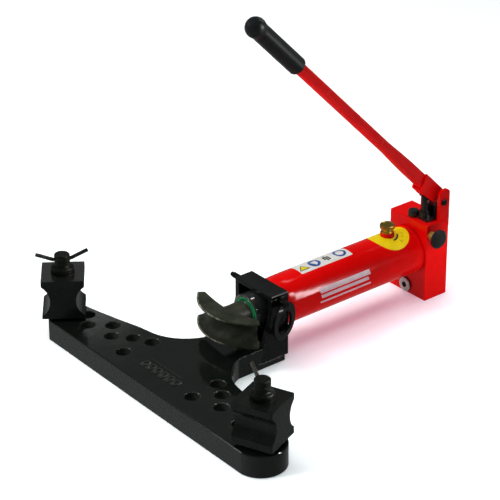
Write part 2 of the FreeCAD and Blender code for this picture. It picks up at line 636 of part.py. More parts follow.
def lever_grip():
    """Moulded grip that flares smoothly into a ball end."""
    neck, ball = ball_end(GRIP_R, BALL_R, BALL_S, 26.0)
    lower = (V(11.5, 0, 447.0), V(14.3, 0, 448.4), V(GRIP_R, 0, 452.5))
    outline = [Part.makeLine(V(BAR_R, 0, 484.0), V(BAR_R, 0, 447.0)),
               Part.makeLine(V(BAR_R, 0, 447.0), lower[0]), Part.Arc(*lower).toShape(),
               Part.makeLine(lower[2], neck[0]), Part.Arc(*neck).toShape(),
               Part.Arc(*ball).toShape(), Part.makeLine(ball[2], V(0, 0, 484.0)),
               Part.makeLine(V(0, 0, 484.0), V(BAR_R, 0, 484.0))]
    grip = Part.Face(Part.Wire(outline)).revolve(V(0, 0, 0), V(0, 0, 1), 360)
    grip.translate(V(0, LEVER_OFFSET, 0))
    return lever_frame(grip)


def ball_end(r, ball_r, ball_s, blend):
    """Arc points of a hollow neck on a bar of radius r, and of the ball it meets."""
    reach, cx = ball_r + blend, r + blend
    start = ball_s - math.sqrt(reach ** 2 - cx ** 2)
    meet = V(cx * ball_r / reach, 0, ball_s + (start - ball_s) * ball_r / reach)
    a = (math.pi + math.atan2(meet.z - start, meet.x - cx)) / 2
    neck = (V(r, 0, start), V(cx + blend * math.cos(a), 0, start + blend * math.sin(a)), meet)
    b = (math.atan2(meet.z - ball_s, meet.x) + math.pi / 2) / 2
    side = V(ball_r * math.cos(b), 0, ball_s + ball_r * math.sin(b))
    return neck, (meet, side, V(0, 0, ball_s + ball_r))


# --------------------------------------------------------------------- write
def main():
    os.makedirs("parts", exist_ok=True)
    save(bending_frame(), "bending_frame")
    save(side_plate(-1), "bracket_side_left")
    save(side_plate(1), "bracket_side_right")
    save(bracket_top(), "bracket_top_plate")
    save(bracket_back(), "bracket_back_plate")
    save(nose_sleeve(), "nose_sleeve")
    save(nose_ring(), "nose_ring")
    save(wiper_seal(), "wiper_seal")
    save(cylinder_front_cap(), "cylinder_front_cap")
    save(cylinder_tube(), "cylinder_tube")
    save(cylinder_rear_collar(), "cylinder_rear_collar")
    save(pressure_barrel(), "pressure_barrel")
    save(pump_block(), "pump_block")
    save(port_plug(), "port_plug")
    save(port_washer(), "port_washer")
    save(lever_lug(-1), "lever_lug_left")
    save(lever_lug(1), "lever_lug_right")
    save(pivot_bolt(), "pivot_bolt")
    save(pivot_nut(), "pivot_nut")
    save(pivot_spacer(-1), "pivot_spacer_left")
    save(pivot_spacer(1), "pivot_spacer_right")
    save(filler_boss(), "filler_boss")
    save(filler_neck(), "filler_neck")
    save(filler_cap(), "filler_cap")
    save(valve_seat(), "valve_seat")
    save(valve_stem(), "valve_stem")
    save(valve_knob(), "valve_knob")
    save(vent_knob(), "vent_knob")
    save(plunger_gland(), "plunger_gland")
    save(pump_head(), "pump_head")
    save(pump_plunger(), "pump_plunger")
    save(lever_socket(), "lever_socket")
    save(drive_pin(), "lever_drive_pin")
    save(lever_tube(), "lever_tube")
    save(lever_grip(), "lever_grip")
    save(ram_rod(), "ram_rod")
    save(ram_piston(), "ram_piston")
    save(piston_seal(), "piston_seal")
    save(bending_former(), "bending_former")
    save(former_screw(), "former_screw")
    save(lock_pin(), "lock_pin")
    save(ring_rivet(), "ring_rivet")
    save(pull_ring(), "pull_ring")
    for name in ("left", "right"):
        save(corner_former(name), "corner_former_" + name)
        save(former_pin(name), "former_pin_" + name)
        save(pin_handle(name), "pin_handle_" + name)
        save(former_washer(name), "former_washer_" + name)


main()
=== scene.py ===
"""Hydraulic conduit bender: surface finishes, labels, small trim, light and camera.

Metres, in the row frame: +X along the wing, +Y along the ram, +Z up.
"""
import bpy
import bmesh
import json
import math
from mathutils import Matrix, Vector


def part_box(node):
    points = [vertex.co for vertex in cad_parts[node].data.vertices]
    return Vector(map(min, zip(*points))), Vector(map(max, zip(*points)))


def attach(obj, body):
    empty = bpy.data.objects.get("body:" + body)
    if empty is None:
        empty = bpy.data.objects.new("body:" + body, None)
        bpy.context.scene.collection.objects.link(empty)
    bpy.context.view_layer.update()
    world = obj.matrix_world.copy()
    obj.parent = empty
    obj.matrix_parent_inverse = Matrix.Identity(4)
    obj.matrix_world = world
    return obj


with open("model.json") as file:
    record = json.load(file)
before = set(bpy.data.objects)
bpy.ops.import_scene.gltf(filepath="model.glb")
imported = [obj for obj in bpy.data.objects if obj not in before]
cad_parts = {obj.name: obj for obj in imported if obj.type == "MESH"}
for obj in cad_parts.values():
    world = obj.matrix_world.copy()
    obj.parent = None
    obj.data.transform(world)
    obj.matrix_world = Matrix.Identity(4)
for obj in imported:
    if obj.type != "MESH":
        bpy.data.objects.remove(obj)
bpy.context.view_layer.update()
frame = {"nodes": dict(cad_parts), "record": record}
NODES = frame["nodes"]

MM = 0.001

tube_low, tube_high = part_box("cylinder_tube")
AXIS_Z = (tube_low[2] + tube_high[2]) / 2      # ram axis
TUBE_R = (tube_high[2] - tube_low[2]) / 2      # outside of the oil jacket
neck_low, neck_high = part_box("filler_neck")
FILLER_Y = (neck_low[1] + neck_high[1]) / 2
WING_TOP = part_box("bending_frame")[1][2]
SHOE_CENTRE_Y = 0.203    # centre of the bending former's rim
SHOE_LIP_R = 0.0948      # where the worn lip of the rim starts
SHOE_LIP_Z = 0.0184      # height of the lips above and below the ram axis
HOLE_REACH = 0.0146      # a pin hole with its chamfer lies inside this radius
SOCKET_REACH = 0.0058    # the port plug's hexagon socket lies inside this radius

# labels and marks, mm
STICKER_LIFT, STRIPE_LIFT = 0.10, 0.08         # above the paint
PRINT_LIFT, OVERPRINT_LIFT = 0.25, 0.33
STICKER_THICK, PRINT_THICK = 0.12, 0.05
STRIPE_SLANT = 2.0
MARK_RISE, DIGIT_RISE, DIGIT_SCALE = 0.9, 0.25, 1.25

# camera: degrees from -Y towards +X, degrees up, degrees of roll, metres
CAMERA_TURN, CAMERA_RISE, CAMERA_ROLL = 50.90, 27.39, -0.24
CAMERA_PLACE = (2.4088, -1.7668, 1.8072)
SENSOR_WIDTH = 36.0                            # mm
FOCAL_PER_WIDTH = 2154.87 / 500.0              # focal length over picture width


# ------------------------------------------------------------------ materials
class Graph:
    """A principled surface and the node patterns that it is made of."""

    def __init__(self, name, **constants):
        self.mat = bpy.data.materials.new(name)
        self.mat.use_nodes = True
        self.tree = self.mat.node_tree
        self.tree.nodes.clear()
        out = self.add("ShaderNodeOutputMaterial")
        self.shader = self.add("ShaderNodeBsdfPrincipled")
        self.tree.links.new(self.shader.outputs[0], out.inputs[0])
        for key, value in constants.items():
            self.shader.inputs[key.replace("_", " ")].default_value = value
        self.place = self.add("ShaderNodeTexCoord").outputs["Object"]
        self.normal = None

    def add(self, kind, **props):
        node = self.tree.nodes.new(kind)
        for key, value in props.items():
            setattr(node, key, value)
        return node

    def plug(self, socket, value):
        if isinstance(value, bpy.types.NodeSocket):
            self.tree.links.new(value, socket)
        elif isinstance(value, tuple) and len(value) == 3 and len(socket.default_value) == 4:
            socket.default_value = (*value, 1.0)     # a colour without its alpha
        else:
            socket.default_value = value

    def mapped(self, stretch=(1, 1, 1), turn=(0, 0, 0), shift=(0, 0, 0)):
        node = self.add("ShaderNodeMapping")
        self.plug(node.inputs["Vector"], self.place)
        node.inputs["Scale"].default_value = stretch
        node.inputs["Rotation"].default_value = turn
        node.inputs["Location"].default_value = shift
        return node.outputs[0]

    def noise(self, scale, detail=3.0, rough=0.55, twist=0.0, at=None):
        node = self.add("ShaderNodeTexNoise")
        self.plug(node.inputs["Vector"], at or self.place)
        node.inputs["Scale"].default_value = scale
        node.inputs["Detail"].default_value = detail
        node.inputs["Roughness"].default_value = rough
        node.inputs["Distortion"].default_value = twist
        return node.outputs["Fac"]

    def steps(self, value, low, high):
        """0 below low, 1 above high, smooth between."""
        node = self.add("ShaderNodeMapRange", interpolation_type="SMOOTHSTEP")
        self.plug(node.inputs["Value"], value)
        node.inputs["From Min"].default_value = low
        node.inputs["From Max"].default_value = high
        return node.outputs[0]

    def span(self, value, low, high):
        """Spreads a 0..1 value between low and high."""
        node = self.add("ShaderNodeMapRange")
        self.plug(node.inputs["Value"], value)
        node.inputs["To Min"].default_value = low
        node.inputs["To Max"].default_value = high
        return node.outputs[0]

    def calc(self, how, a, b=0.0):
        node = self.add("ShaderNodeMath", operation=how)
        self.plug(node.inputs[0], a)
        self.plug(node.inputs[1], b)
        return node.outputs[0]

    def blend(self, fac, a, b):
        node = self.add("ShaderNodeMix", data_type="RGBA")
        self.plug(node.inputs["Factor"], fac)
        self.plug(node.inputs[6], a)
        self.plug(node.inputs[7], b)
        return node.outputs[2]

    def part(self, what):
        """One coordinate of the surface point, in metres."""
        node = self.add("ShaderNodeSeparateXYZ")
        self.plug(node.inputs[0], self.place)
        return node.outputs["XYZ".index(what)]

    def rounded(self, radius):
        """Softens the hard edges in the shading."""
        node = self.add("ShaderNodeBevel", samples=6)
        node.inputs["Radius"].default_value = radius
        self.normal = node.outputs[0]

    def edges(self, radius, low=0.02, high=0.25):
        """Mask of the outer edges."""
        bevel = self.add("ShaderNodeBevel", samples=6)
        bevel.inputs["Radius"].default_value = radius
        flat = self.add("ShaderNodeNewGeometry").outputs["Normal"]
        dot = self.add("ShaderNodeVectorMath", operation="DOT_PRODUCT")
        self.plug(dot.inputs[0], bevel.outputs[0])
        self.plug(dot.inputs[1], flat)
        return self.steps(self.calc("SUBTRACT", 1.0, dot.outputs["Value"]), low, high)

    def scratches(self, scale, thin=0.012, turns=((0.3, 0.5, 0.9), (1.1, 0.2, 2.4))):
        """Hairline marks in a few directions."""
        total = None
        for turn in turns:
            line = self.noise(scale, 1.0, 0.4, 0.3, self.mapped((1, 0.045, 0.045), turn))
            off = self.calc("ABSOLUTE", self.calc("SUBTRACT", line, 0.5))
            mark = self.calc("LESS_THAN", off, thin)
            where = self.noise(38, 2.0, 0.5, 0.0, self.mapped((1, 1, 1), turn))
            rare = self.steps(where, 0.56, 0.66)
            mark = self.calc("MULTIPLY", mark, rare)
            total = mark if total is None else self.calc("MAXIMUM", total, mark)
        return total

    def bump(self, height, strength, depth):
        node = self.add("ShaderNodeBump")
        node.inputs["Strength"].default_value = strength
        node.inputs["Distance"].default_value = depth
        self.plug(node.inputs["Height"], height)
        if self.normal is not None:
            self.plug(node.inputs["Normal"], self.normal)
        self.normal = node.outputs[0]

    def done(self, colour, rough, metal=None):
        self.plug(self.shader.inputs["Base Color"], colour)
        self.plug(self.shader.inputs["Roughness"], rough)
        if metal is not None:
            self.plug(self.shader.inputs["Metallic"], metal)
        if self.normal is not None:
            self.plug(self.shader.inputs["Normal"], self.normal)
        return self.mat


def enamel(name, base, tint, under, rough, grain, grain_size, wear, coat=0.0, edge=0.0009,
           level=0.5, scuffs=0.04):
    """Paint over metal: soft clouding, specks, orange peel, scuffs and chips along the edges.

    grain is the depth of the peel, wear the share of chipped edges, level how much it mirrors.
    """
    g = Graph(name, Coat_Weight=coat, Coat_Roughness=0.06, Specular_IOR_Level=level)
    g.rounded(edge)
    cloud = g.noise(16, 4.0, 0.55)
    fine = g.noise(grain_size, 5.0, 0.62)
    colour = g.blend(g.steps(cloud, 0.35, 0.68), base, tint)
    speck = g.steps(g.noise(grain_size * 2.3, 2.0, 0.5), 0.60, 0.74)
    pale = tuple(c * 0.9 + 0.012 for c in tint)
    colour = g.blend(g.calc("MULTIPLY", speck, 0.10), colour, pale)
    marks = g.scratches(60)
    colour = g.blend(g.calc("MULTIPLY", marks, scuffs), colour, pale)
    patchy = g.steps(g.noise(150, 4.0, 0.7), 0.62 - wear, 0.74 - wear)
    chipped = g.calc("MULTIPLY", g.edges(edge * 1.3), patchy)
    colour = g.blend(g.calc("MULTIPLY", chipped, min(1.0, 0.35 + wear * 2)), colour, under)
    spread = g.span(g.noise(30, 5.0, 0.65), rough * 0.72, rough * 1.35)
    spread = g.calc("ADD", spread, g.calc("MULTIPLY", marks, 0.05))
    spread = g.calc("ADD", spread, g.calc("MULTIPLY", speck, 0.04))
    g.bump(g.noise(60, 2.0, 0.5), 0.10, 0.0005)
    g.bump(fine, grain, 0.00025)
    return g.done(colour, spread)


def casting(name, base, tint, bright, rough):
    """Oiled bare casting: mottled, pitted in the groove, worn bright along the two lips."""
    g = Graph(name, Coat_Weight=0.05, Coat_Roughness=0.30)
    g.rounded(0.0008)
    mottle = g.noise(42, 6.0, 0.68, 0.6)
    colour = g.blend(g.steps(mottle, 0.38, 0.62), base, tint)
    stain = g.steps(g.noise(95, 4.0, 0.6, 1.2), 0.55, 0.70)
    colour = g.blend(g.calc("MULTIPLY", stain, 0.45), colour, tuple(c * 0.5 for c in base))
    x, y = g.part("X"), g.calc("SUBTRACT", g.part("Y"), SHOE_CENTRE_Y)
    reach = g.calc("SQRT", g.calc("ADD", g.calc("MULTIPLY", x, x), g.calc("MULTIPLY", y, y)))
    height = g.calc("ABSOLUTE", g.calc("SUBTRACT", g.part("Z"), AXIS_Z))
    groove = g.calc("SUBTRACT", 1.0, g.steps(height, 0.012, 0.019))
    hollow = g.calc("MULTIPLY", g.steps(reach, 0.074, 0.080), groove)
    pits = g.steps(g.noise(620, 3.0, 0.6), 0.60, 0.68)
    pits = g.calc("MULTIPLY", pits, g.steps(g.noise(75, 3.0, 0.6, 0.5), 0.46, 0.60))
    colour = g.blend(g.calc("MULTIPLY", g.calc("MULTIPLY", hollow, pits), 0.55), colour,
                     tuple(c * 0.6 for c in bright))
    lip = g.calc("MULTIPLY", g.steps(reach, SHOE_LIP_R, SHOE_LIP_R + 0.0009),
                 g.steps(height, SHOE_LIP_Z, SHOE_LIP_Z + 0.0014))
    rubbed = g.noise(110, 4.0, 0.7, 0.0, g.mapped((1, 1, 0.3)))
    worn = g.calc("MULTIPLY", lip, g.steps(rubbed, 0.34, 0.62))
    colour = g.blend(g.calc("MULTIPLY", worn, 0.85), colour, bright)
    spread = g.calc("SUBTRACT", g.span(g.noise(55, 5.0, 0.6), rough * 0.75, rough * 1.35),
                    g.calc("MULTIPLY", worn, 0.14))
    g.bump(g.noise(120, 4.0, 0.6), 0.22, 0.0006)
    g.bump(g.noise(620, 5.0, 0.65), 0.30, 0.0002)
    return g.done(colour, spread, g.span(g.steps(g.noise(60, 3.0), 0.3, 0.7), 0.15, 0.40))


def machined(name, base, tint, rough, stretch, lines=900, edge=0.0004, strength=0.10, stain=0.25):
    """Turned or ground metal: fine tool lines along one direction, faint stains."""
    g = Graph(name, Metallic=1.0)
    g.rounded(edge)
    tool = g.noise(lines, 3.0, 0.7, 0.0, g.mapped(stretch))
    cloud = g.noise(48, 4.0, 0.6)
    colour = g.blend(g.steps(tool, 0.35, 0.66), base, tint)
    stained = g.calc("MULTIPLY", g.steps(cloud, 0.52, 0.72), stain)
    colour = g.blend(stained, colour, tuple(c * 0.45 for c in base))
    polished = tuple(min(1, c * 1.6 + 0.05) for c in tint)
    colour = g.blend(g.calc("MULTIPLY", g.edges(edge * 2.2), 0.5), colour, polished)
    spread = g.calc("ADD", g.span(tool, rough * 0.8, rough * 1.25), g.span(cloud, 0.0, rough * 0.3))
    g.bump(tool, strength, 0.0002)
    return g.done(colour, spread)


def moulded(name, base, tint, rough, coat, grain=0.18, scale=700):
    """Moulded plastic or rubber with a fine skin, dull and shiny patches."""
    g = Graph(name, Coat_Weight=coat, Coat_Roughness=0.12)
    g.rounded(0.0005)
    cloud = g.noise(60, 4.0, 0.6)
    colour = g.blend(g.steps(cloud, 0.4, 0.65), base, tint)
    speck = g.steps(g.noise(900, 2.0, 0.5), 0.60, 0.72)
    colour = g.blend(g.calc("MULTIPLY", speck, 0.25), colour, tuple(c * 1.6 for c in tint))
    marks = g.scratches(90)
    spread = g.calc("ADD", g.span(g.noise(45, 5.0, 0.6), rough * 0.75, rough * 1.3),
                    g.calc("MULTIPLY", marks, 0.15))
    g.bump(g.noise(scale, 4.0, 0.6), grain, 0.00018)
    return g.done(colour, spread)


def printed(name, base, tint, rough=0.34):
    """Printed vinyl or screen ink: faint mottling, slight gloss change, worn specks."""
    g = Graph(name, Specular_IOR_Level=0.3)
    cloud = g.noise(75, 4.0, 0.6)
    colour = g.blend(g.steps(cloud, 0.35, 0.7), base, tint)
    speck = g.steps(g.noise(520, 3.0, 0.6), 0.66, 0.74)
    colour = g.blend(g.calc("MULTIPLY", speck, 0.35), colour, tuple(c * 0.6 for c in base))
    g.bump(g.noise(900, 2.0, 0.5), 0.06, 0.0001)
    return g.done(colour, g.span(cloud, rough * 0.8, rough * 1.3))


ALONG_X, ALONG_Y, ALONG_Z = (1, .03, .03), (.03, 1, .03), (.03, .03, 1)
RED, RED_TINT, RED_UNDER = (0.58, 0.0010, 0.0010), (0.66, 0.0016, 0.0016), (0.12, 0.012, 0.012)

wing_black = enamel("wing_enamel", (0.0030, 0.0042, 0.0034), (0.0042, 0.0056, 0.0046),
                    (0.05, 0.052, 0.048), rough=0.10, grain=0.05, grain_size=420, wear=0.0,
                    edge=0.0006, level=0.75)
# rubbed enamel for the wing's pin holes, lighter than the wing as painted light on their walls; on
# the port plug's socket it is darker than the zinc as painted shade
bore_painted_light_and_shade = enamel("bore_enamel_painted_shading", (0.016, 0.018, 0.016), (0.029, 0.032, 0.028),
                   (0.13, 0.14, 0.13), rough=0.22, grain=0.06, grain_size=300, wear=0.10,
                   edge=0.0010, coat=0.4)
former_black = enamel("former_enamel", (0.0030, 0.0038, 0.0033), (0.0058, 0.0068, 0.0060),
                      (0.05, 0.055, 0.05), rough=0.23, grain=0.05, grain_size=420, wear=0.02,
                      edge=0.0007, level=0.36)
mark_black = enamel("mark_enamel", (0.010, 0.012, 0.010), (0.017, 0.020, 0.017),
                    (0.06, 0.065, 0.06), rough=0.20, grain=0.05, grain_size=420, wear=0.05,
                    edge=0.0003)
bracket_black = enamel("bracket_enamel", (0.0034, 0.0040, 0.0037), (0.0066, 0.0074, 0.0068),
                       (0.09, 0.095, 0.09), rough=0.17, grain=0.08, grain_size=300, wear=0.14,
                       edge=0.0008, level=0.38)
red_gloss = enamel("red_gloss", RED, RED_TINT, RED_UNDER, rough=0.10, grain=0.025, grain_size=380,
                   wear=0.0, edge=0.0008, level=0.17, scuffs=0.0)
red_lever = enamel("red_lever", (0.68, 0.0012, 0.0016), (0.76, 0.0020, 0.0024), RED_UNDER,
                   rough=0.24, grain=0.07, grain_size=420, wear=0.02, edge=0.0007, level=0.12,
                   scuffs=0.0)
olive_cast = casting("shoe_casting", (0.0130, 0.0150, 0.0090), (0.029, 0.0325, 0.0205),
                     (0.36, 0.38, 0.28), rough=0.46)
chrome_y = machined("chrome_turned", (0.62, 0.62, 0.60), (0.72, 0.72, 0.70), rough=0.12,
                    stretch=ALONG_Y, lines=1200, edge=0.0003, strength=0.06)
chrome_ring = machined("chrome_ring", (0.90, 0.90, 0.86), (1.0, 1.0, 0.96), rough=0.22,
                       stretch=ALONG_Y, lines=900, edge=0.0009, strength=0.08, stain=0.10)
sleeve_y = enamel("sleeve_enamel", (0.010, 0.011, 0.0105), (0.016, 0.0175, 0.0165),
                  (0.10, 0.105, 0.10), rough=0.13, grain=0.05, grain_size=500, wear=0.10,
                  coat=0.5, edge=0.0006)
steel_y = machined("steel_turned_y", (0.50, 0.50, 0.48), (0.62, 0.62, 0.60), rough=0.30,
                   stretch=ALONG_Y)
steel_x = machined("steel_turned_x", (0.42, 0.42, 0.41), (0.56, 0.56, 0.54), rough=0.28,
                   stretch=ALONG_X)
zinc = moulded("zinc_plate", (0.44, 0.44, 0.42), (0.54, 0.54, 0.52), rough=0.34, coat=0.2,
               grain=0.06)
dark_z = machined("black_oxide_z", (0.040, 0.045, 0.039), (0.070, 0.077, 0.066), rough=0.40,
                  stretch=ALONG_Z, lines=700, edge=0.0004)
handle_olive = machined("handle_olive", (0.090, 0.095, 0.075), (0.15, 0.155, 0.125), rough=0.34,
                        stretch=ALONG_X, lines=500, edge=0.0004)
handle_steel = machined("handle_steel", (0.16, 0.165, 0.155), (0.26, 0.265, 0.25), rough=0.30,
                        stretch=ALONG_X, lines=500, edge=0.0004)
dark_x = machined("black_oxide_x", (0.018, 0.019, 0.018), (0.042, 0.043, 0.042), rough=0.30,
                  stretch=ALONG_X, lines=700, edge=0.0006)
gland_black = moulded("gland_enamel", (0.0045, 0.0050, 0.0052), (0.0075, 0.0082, 0.0085),
                      rough=0.20, coat=0.2, grain=0.04)
brass_z = machined("brass_turned_z", (0.62, 0.43, 0.075), (0.74, 0.54, 0.12), rough=0.30,
                   stretch=ALONG_Z, lines=800, edge=0.0003)
brass_x = machined("brass_turned_x", (0.95, 0.68, 0.15), (1.0, 0.78, 0.25), rough=0.27,
                   stretch=ALONG_X, lines=800, edge=0.0004)
green_ring = moulded("green_polymer", (0.012, 0.30, 0.10), (0.02, 0.42, 0.15), rough=0.28,
                     coat=0.4, grain=0.10)
grip_black = moulded("grip_vinyl", (0.0034, 0.0042, 0.0048), (0.0048, 0.0058, 0.0064), rough=0.36,
                     coat=0.0, grain=0.03)
knob_black = moulded("knob_plastic", (0.0055, 0.006, 0.006), (0.0095, 0.010, 0.010), rough=0.24,
                     coat=0.3, grain=0.10)
seal_black = moulded("seal_rubber", (0.008, 0.008, 0.008), (0.014, 0.014, 0.014), rough=0.5,
                     coat=0.0, grain=0.2)
label_yellow = printed("label_yellow", (0.70, 0.52, 0.0012), (0.76, 0.565, 0.002))
label_white = printed("label_white", (0.58, 0.58, 0.55), (0.66, 0.66, 0.63))
# white stripe ink, coloured darker and pinkish as painted shade on the side of the jacket
stripe_ink_painted_shade = printed("stripe_ink_painted_shade", (0.60, 0.42, 0.47), (0.70, 0.52, 0.57))
ink_black = printed("ink_black", (0.006, 0.006, 0.006), (0.012, 0.012, 0.012))
ink_blue = printed("ink_blue", (0.012, 0.045, 0.20), (0.02, 0.07, 0.28))
ink_yellow = printed("ink_yellow", (0.62, 0.50, 0.01), (0.70, 0.58, 0.02))

FINISH = {
    wing_black: ["bending_frame"],
    former_black: ["corner_former_left", "corner_former_right"],
    bracket_black: ["bracket_side_left", "bracket_side_right", "bracket_top_plate",
                    "bracket_back_plate"],
    sleeve_y: ["nose_sleeve"],
    red_gloss: ["cylinder_front_cap", "cylinder_tube", "cylinder_rear_collar", "pump_block",
                "filler_boss", "lever_lug_left", "lever_lug_right"],
    red_lever: ["lever_socket", "lever_tube"],
    olive_cast: ["bending_former"],
    chrome_ring: ["nose_ring"],
    chrome_y: ["ram_rod"],
    green_ring: ["wiper_seal"],
    steel_y: ["pressure_barrel", "ram_piston"],
    zinc: ["port_plug"],
    steel_x: ["lever_drive_pin", "pivot_spacer_left", "pivot_spacer_right", "ring_rivet"],
    dark_z: ["former_pin_left", "former_pin_right", "former_washer_left", "former_washer_right",
             "former_screw"],
    handle_olive: ["pin_handle_left"],
    handle_steel: ["pin_handle_right"],
    gland_black: ["plunger_gland", "pump_head", "pump_plunger"],
    dark_x: ["lock_pin", "pull_ring", "pivot_bolt", "pivot_nut"],
    brass_z: ["filler_neck", "filler_cap"],
    brass_x: ["valve_seat", "valve_stem"],
    grip_black: ["lever_grip"],
    knob_black: ["valve_knob", "vent_knob"],
    seal_black: ["piston_seal", "port_washer"],
}


def finish_nodes():
    for mat, names in FINISH.items():
        for name in names:
            mesh = NODES[name].data
            mesh.materials.clear()
            mesh.materials.append(mat)
    finish_bores()
    finish_socket()
    missing = set(NODES) - {n for names in FINISH.values() for n in names}
    assert not missing, missing


def pin_holes():
    """Centres of the paired pin holes of the wing."""
    spots = []
    for mount in frame["record"]["mounts"]:
        if mount["kind"] == "bolt_pattern":
            half = mount["dims"]["spacing_x_mm"] / 2000
            spots += [Vector((side * half, mount["pos_m"][1])) for side in (-1, 1)]
    return spots


def finish_bores():
    """The pin holes of the wing, with their chamfers, are rubbed, and their walls get an enamel
    lighter than the wing as painted light.
    """
    mesh = NODES["bending_frame"].data
    mesh.materials.append(bore_painted_light_and_shade)
    holes = pin_holes()
    for face in mesh.polygons:
        spot = face.center
        near = min((spot.xy - hole).length for hole in holes)
        if near < HOLE_REACH and abs(face.normal.z) < 0.9:
            face.material_index = 1


def finish_socket():
    """The hexagon socket of the port plug is coloured dark inside, as painted shade in the recess.
    """
    mesh = NODES["port_plug"].data
    mesh.materials.append(bore_painted_light_and_shade)
    lo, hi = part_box("port_plug")
    middle = [(a + b) / 2 for a, b in zip(lo, hi)]
    for face in mesh.polygons:
        reach = math.hypot(face.center.x - middle[0], face.center.z - middle[2])
        if reach < SOCKET_REACH:
            face.material_index = 1


# --------------------------------------------------------------- small pieces
def add_piece(name, mesh, mat, body):
    obj = bpy.data.objects.new(name, mesh)
    bpy.context.scene.collection.objects.link(obj)
    mesh.materials.clear()
    mesh.materials.append(mat)
    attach(obj, body)
    return obj


def flat_mesh(name, loops, thick, rise=0.0):
    """Plate from closed outlines (inner loops are holes), in millimetres."""
    curve = bpy.data.curves.new(name, "CURVE")
    curve.dimensions = "2D"
    curve.fill_mode = "BOTH"
    curve.extrude = thick / 2
    for loop in loops:
        spline = curve.splines.new("POLY")
        spline.points.add(len(loop) - 1)
        for point, (x, y) in zip(spline.points, loop):
            point.co = (x, y, 0, 1)
        spline.use_cyclic_u = True
    holder = bpy.data.objects.new(name, curve)
    mesh = bpy.data.meshes.new_from_object(holder)
    bpy.data.objects.remove(holder)
    mesh.name = name
    mesh.transform(Matrix.Translation((0, 0, thick / 2 + rise)))
    return mesh


def welded(mesh):
    bm = bmesh.new()
    bm.from_mesh(mesh)
    bmesh.ops.remove_doubles(bm, verts=bm.verts, dist=1e-5)
    return bm


def on_cylinder(name, loops, mat, lift, thick=STICKER_THICK):
    """Label on the oil jacket.  Outline points are (mm round from the top, mm along Y)."""
    mesh = flat_mesh(name, loops, thick, lift)
    bm = welded(mesh)
    lo = min(v.co.x for v in bm.verts)
    hi = max(v.co.x for v in bm.verts)
    x = math.ceil(lo) + 0.01
    while x < hi:
        # cut into narrow strips, so that the label bends round the jacket
        bmesh.ops.bisect_plane(bm, geom=bm.verts[:] + bm.edges[:] + bm.faces[:], dist=1e-6,
                               plane_co=(x, 0, 0), plane_no=(1, 0, 0))
        x += 1.5
    for v in bm.verts:
        a = v.co.x * MM / TUBE_R
        r = TUBE_R + v.co.z * MM
        v.co = (r * math.sin(a), v.co.y * MM, AXIS_Z + r * math.cos(a))
    bmesh.ops.recalc_face_normals(bm, faces=bm.faces)
    bm.to_mesh(mesh)
    bm.free()
    return add_piece(name, mesh, mat, "frame")


def on_print(name, loops, mat, lift=PRINT_LIFT):
    return on_cylinder(name, loops, mat, lift, PRINT_THICK)


def ring(cx, cy, r, n=56, a0=0.0, a1=360.0):
    steps = n if a1 - a0 >= 360 else n + 1
    return [(cx + r * math.cos(math.radians(a0 + (a1 - a0) * i / n)),
             cy + r * math.sin(math.radians(a0 + (a1 - a0) * i / n))) for i in range(steps)]


def rect(x0, x1, y0, y1, r=0.0):
    if not r:
        return [(x0, y0), (x1, y0), (x1, y1), (x0, y1)]
    out = []
    corners = ((x1 - r, y1 - r), (x0 + r, y1 - r), (x0 + r, y0 + r), (x1 - r, y0 + r))
    for i, (cx, cy) in enumerate(corners):
        out += ring(cx, cy, r, 6, 90 * i, 90 * i + 90)
    return out


def labels():
    """Labels of the jacket, in plain signs.  Places are (mm round from the top, mm along Y)."""
    filler = FILLER_Y / MM
    front = tube_low[1] / MM

    # round yellow disc about the filler, with a direction arc and ticks
    on_cylinder("filler_label", [ring(0, filler + 2, 37.4, 96), ring(0, filler, 12.6, 48)],
                label_yellow, STICKER_LIFT)
    arc = ring(0, filler, 19.3, 20, -2, 66) + ring(0, filler, 16.3, 20, -2, 66)[::-1]
    on_print("filler_label_arc", [arc], ink_black)
    ticks = ((7.0, 25.0, 5.0), (14.5, 19.5, 4.0), (21.0, 11.0, 6.0), (23.0, 14.4, 3.5))
    for i, (x, y, long) in enumerate(ticks):
        on_print("filler_tick_%d" % i, [rect(x, x + long, filler + y, filler + y + 0.9)], ink_black)

    # white strip along the top: triangle, disc, bars and ring
    start = front + 17.2
    on_cylinder("strip_label", [rect(-19.0, 13.6, start, start + 112.4, 1.2)],
                label_white, STICKER_LIFT)
    tip = start + 12.6
    on_print("strip_triangle", [[(7.4, tip - 11.3), (7.4, tip + 11.2), (-7.6, tip)]], ink_black)
    on_print("strip_triangle_fill", [[(5.9, tip - 8.4), (5.9, tip + 8.3), (-4.9, tip)]],
             ink_yellow, OVERPRINT_LIFT)
    disc = start + 38.8
    on_print("strip_disc", [ring(-1.6, disc, 11.4, 48)], ink_blue)
    sign = [(-7.4, disc + 4.5), (-5.2, disc - 6.4), (6.4, disc + 0.6), (0.6, disc + 6.4)]
    on_print("strip_disc_fill", [sign], label_white, OVERPRINT_LIFT)
    for i, (x, y, wide) in enumerate(((-7.2, 59.4, 10.0), (-11.6, 63.7, 18.0), (-6.6, 68.2, 11.5))):
        on_print("strip_mark_%d" % i, [rect(x, x + wide, start + y, start + y + 3.4)], ink_black)
    hoop = start + 95.4
    on_print("strip_ring", [ring(-2.4, hoop, 11.8, 48), ring(-2.4, hoop, 7.6, 40)], ink_blue)

    # plain slanted stripes on the side of the jacket, their white ink coloured pink-grey as painted
    # shade
    stripes = ((48.5, 57.5, 33, 146), (60.5, 66.5, 35, 142), (72.2, 75.8, 33, 147))
    for i, (x0, x1, y0, y1) in enumerate(stripes):
        loop = [(x0, front + y0), (x1, front + y0 + STRIPE_SLANT),
                (x1, front + y1), (x0, front + y1 - STRIPE_SLANT)]
        on_print("side_stripe_%d" % i, [loop], stripe_ink_painted_shade, STRIPE_LIFT)


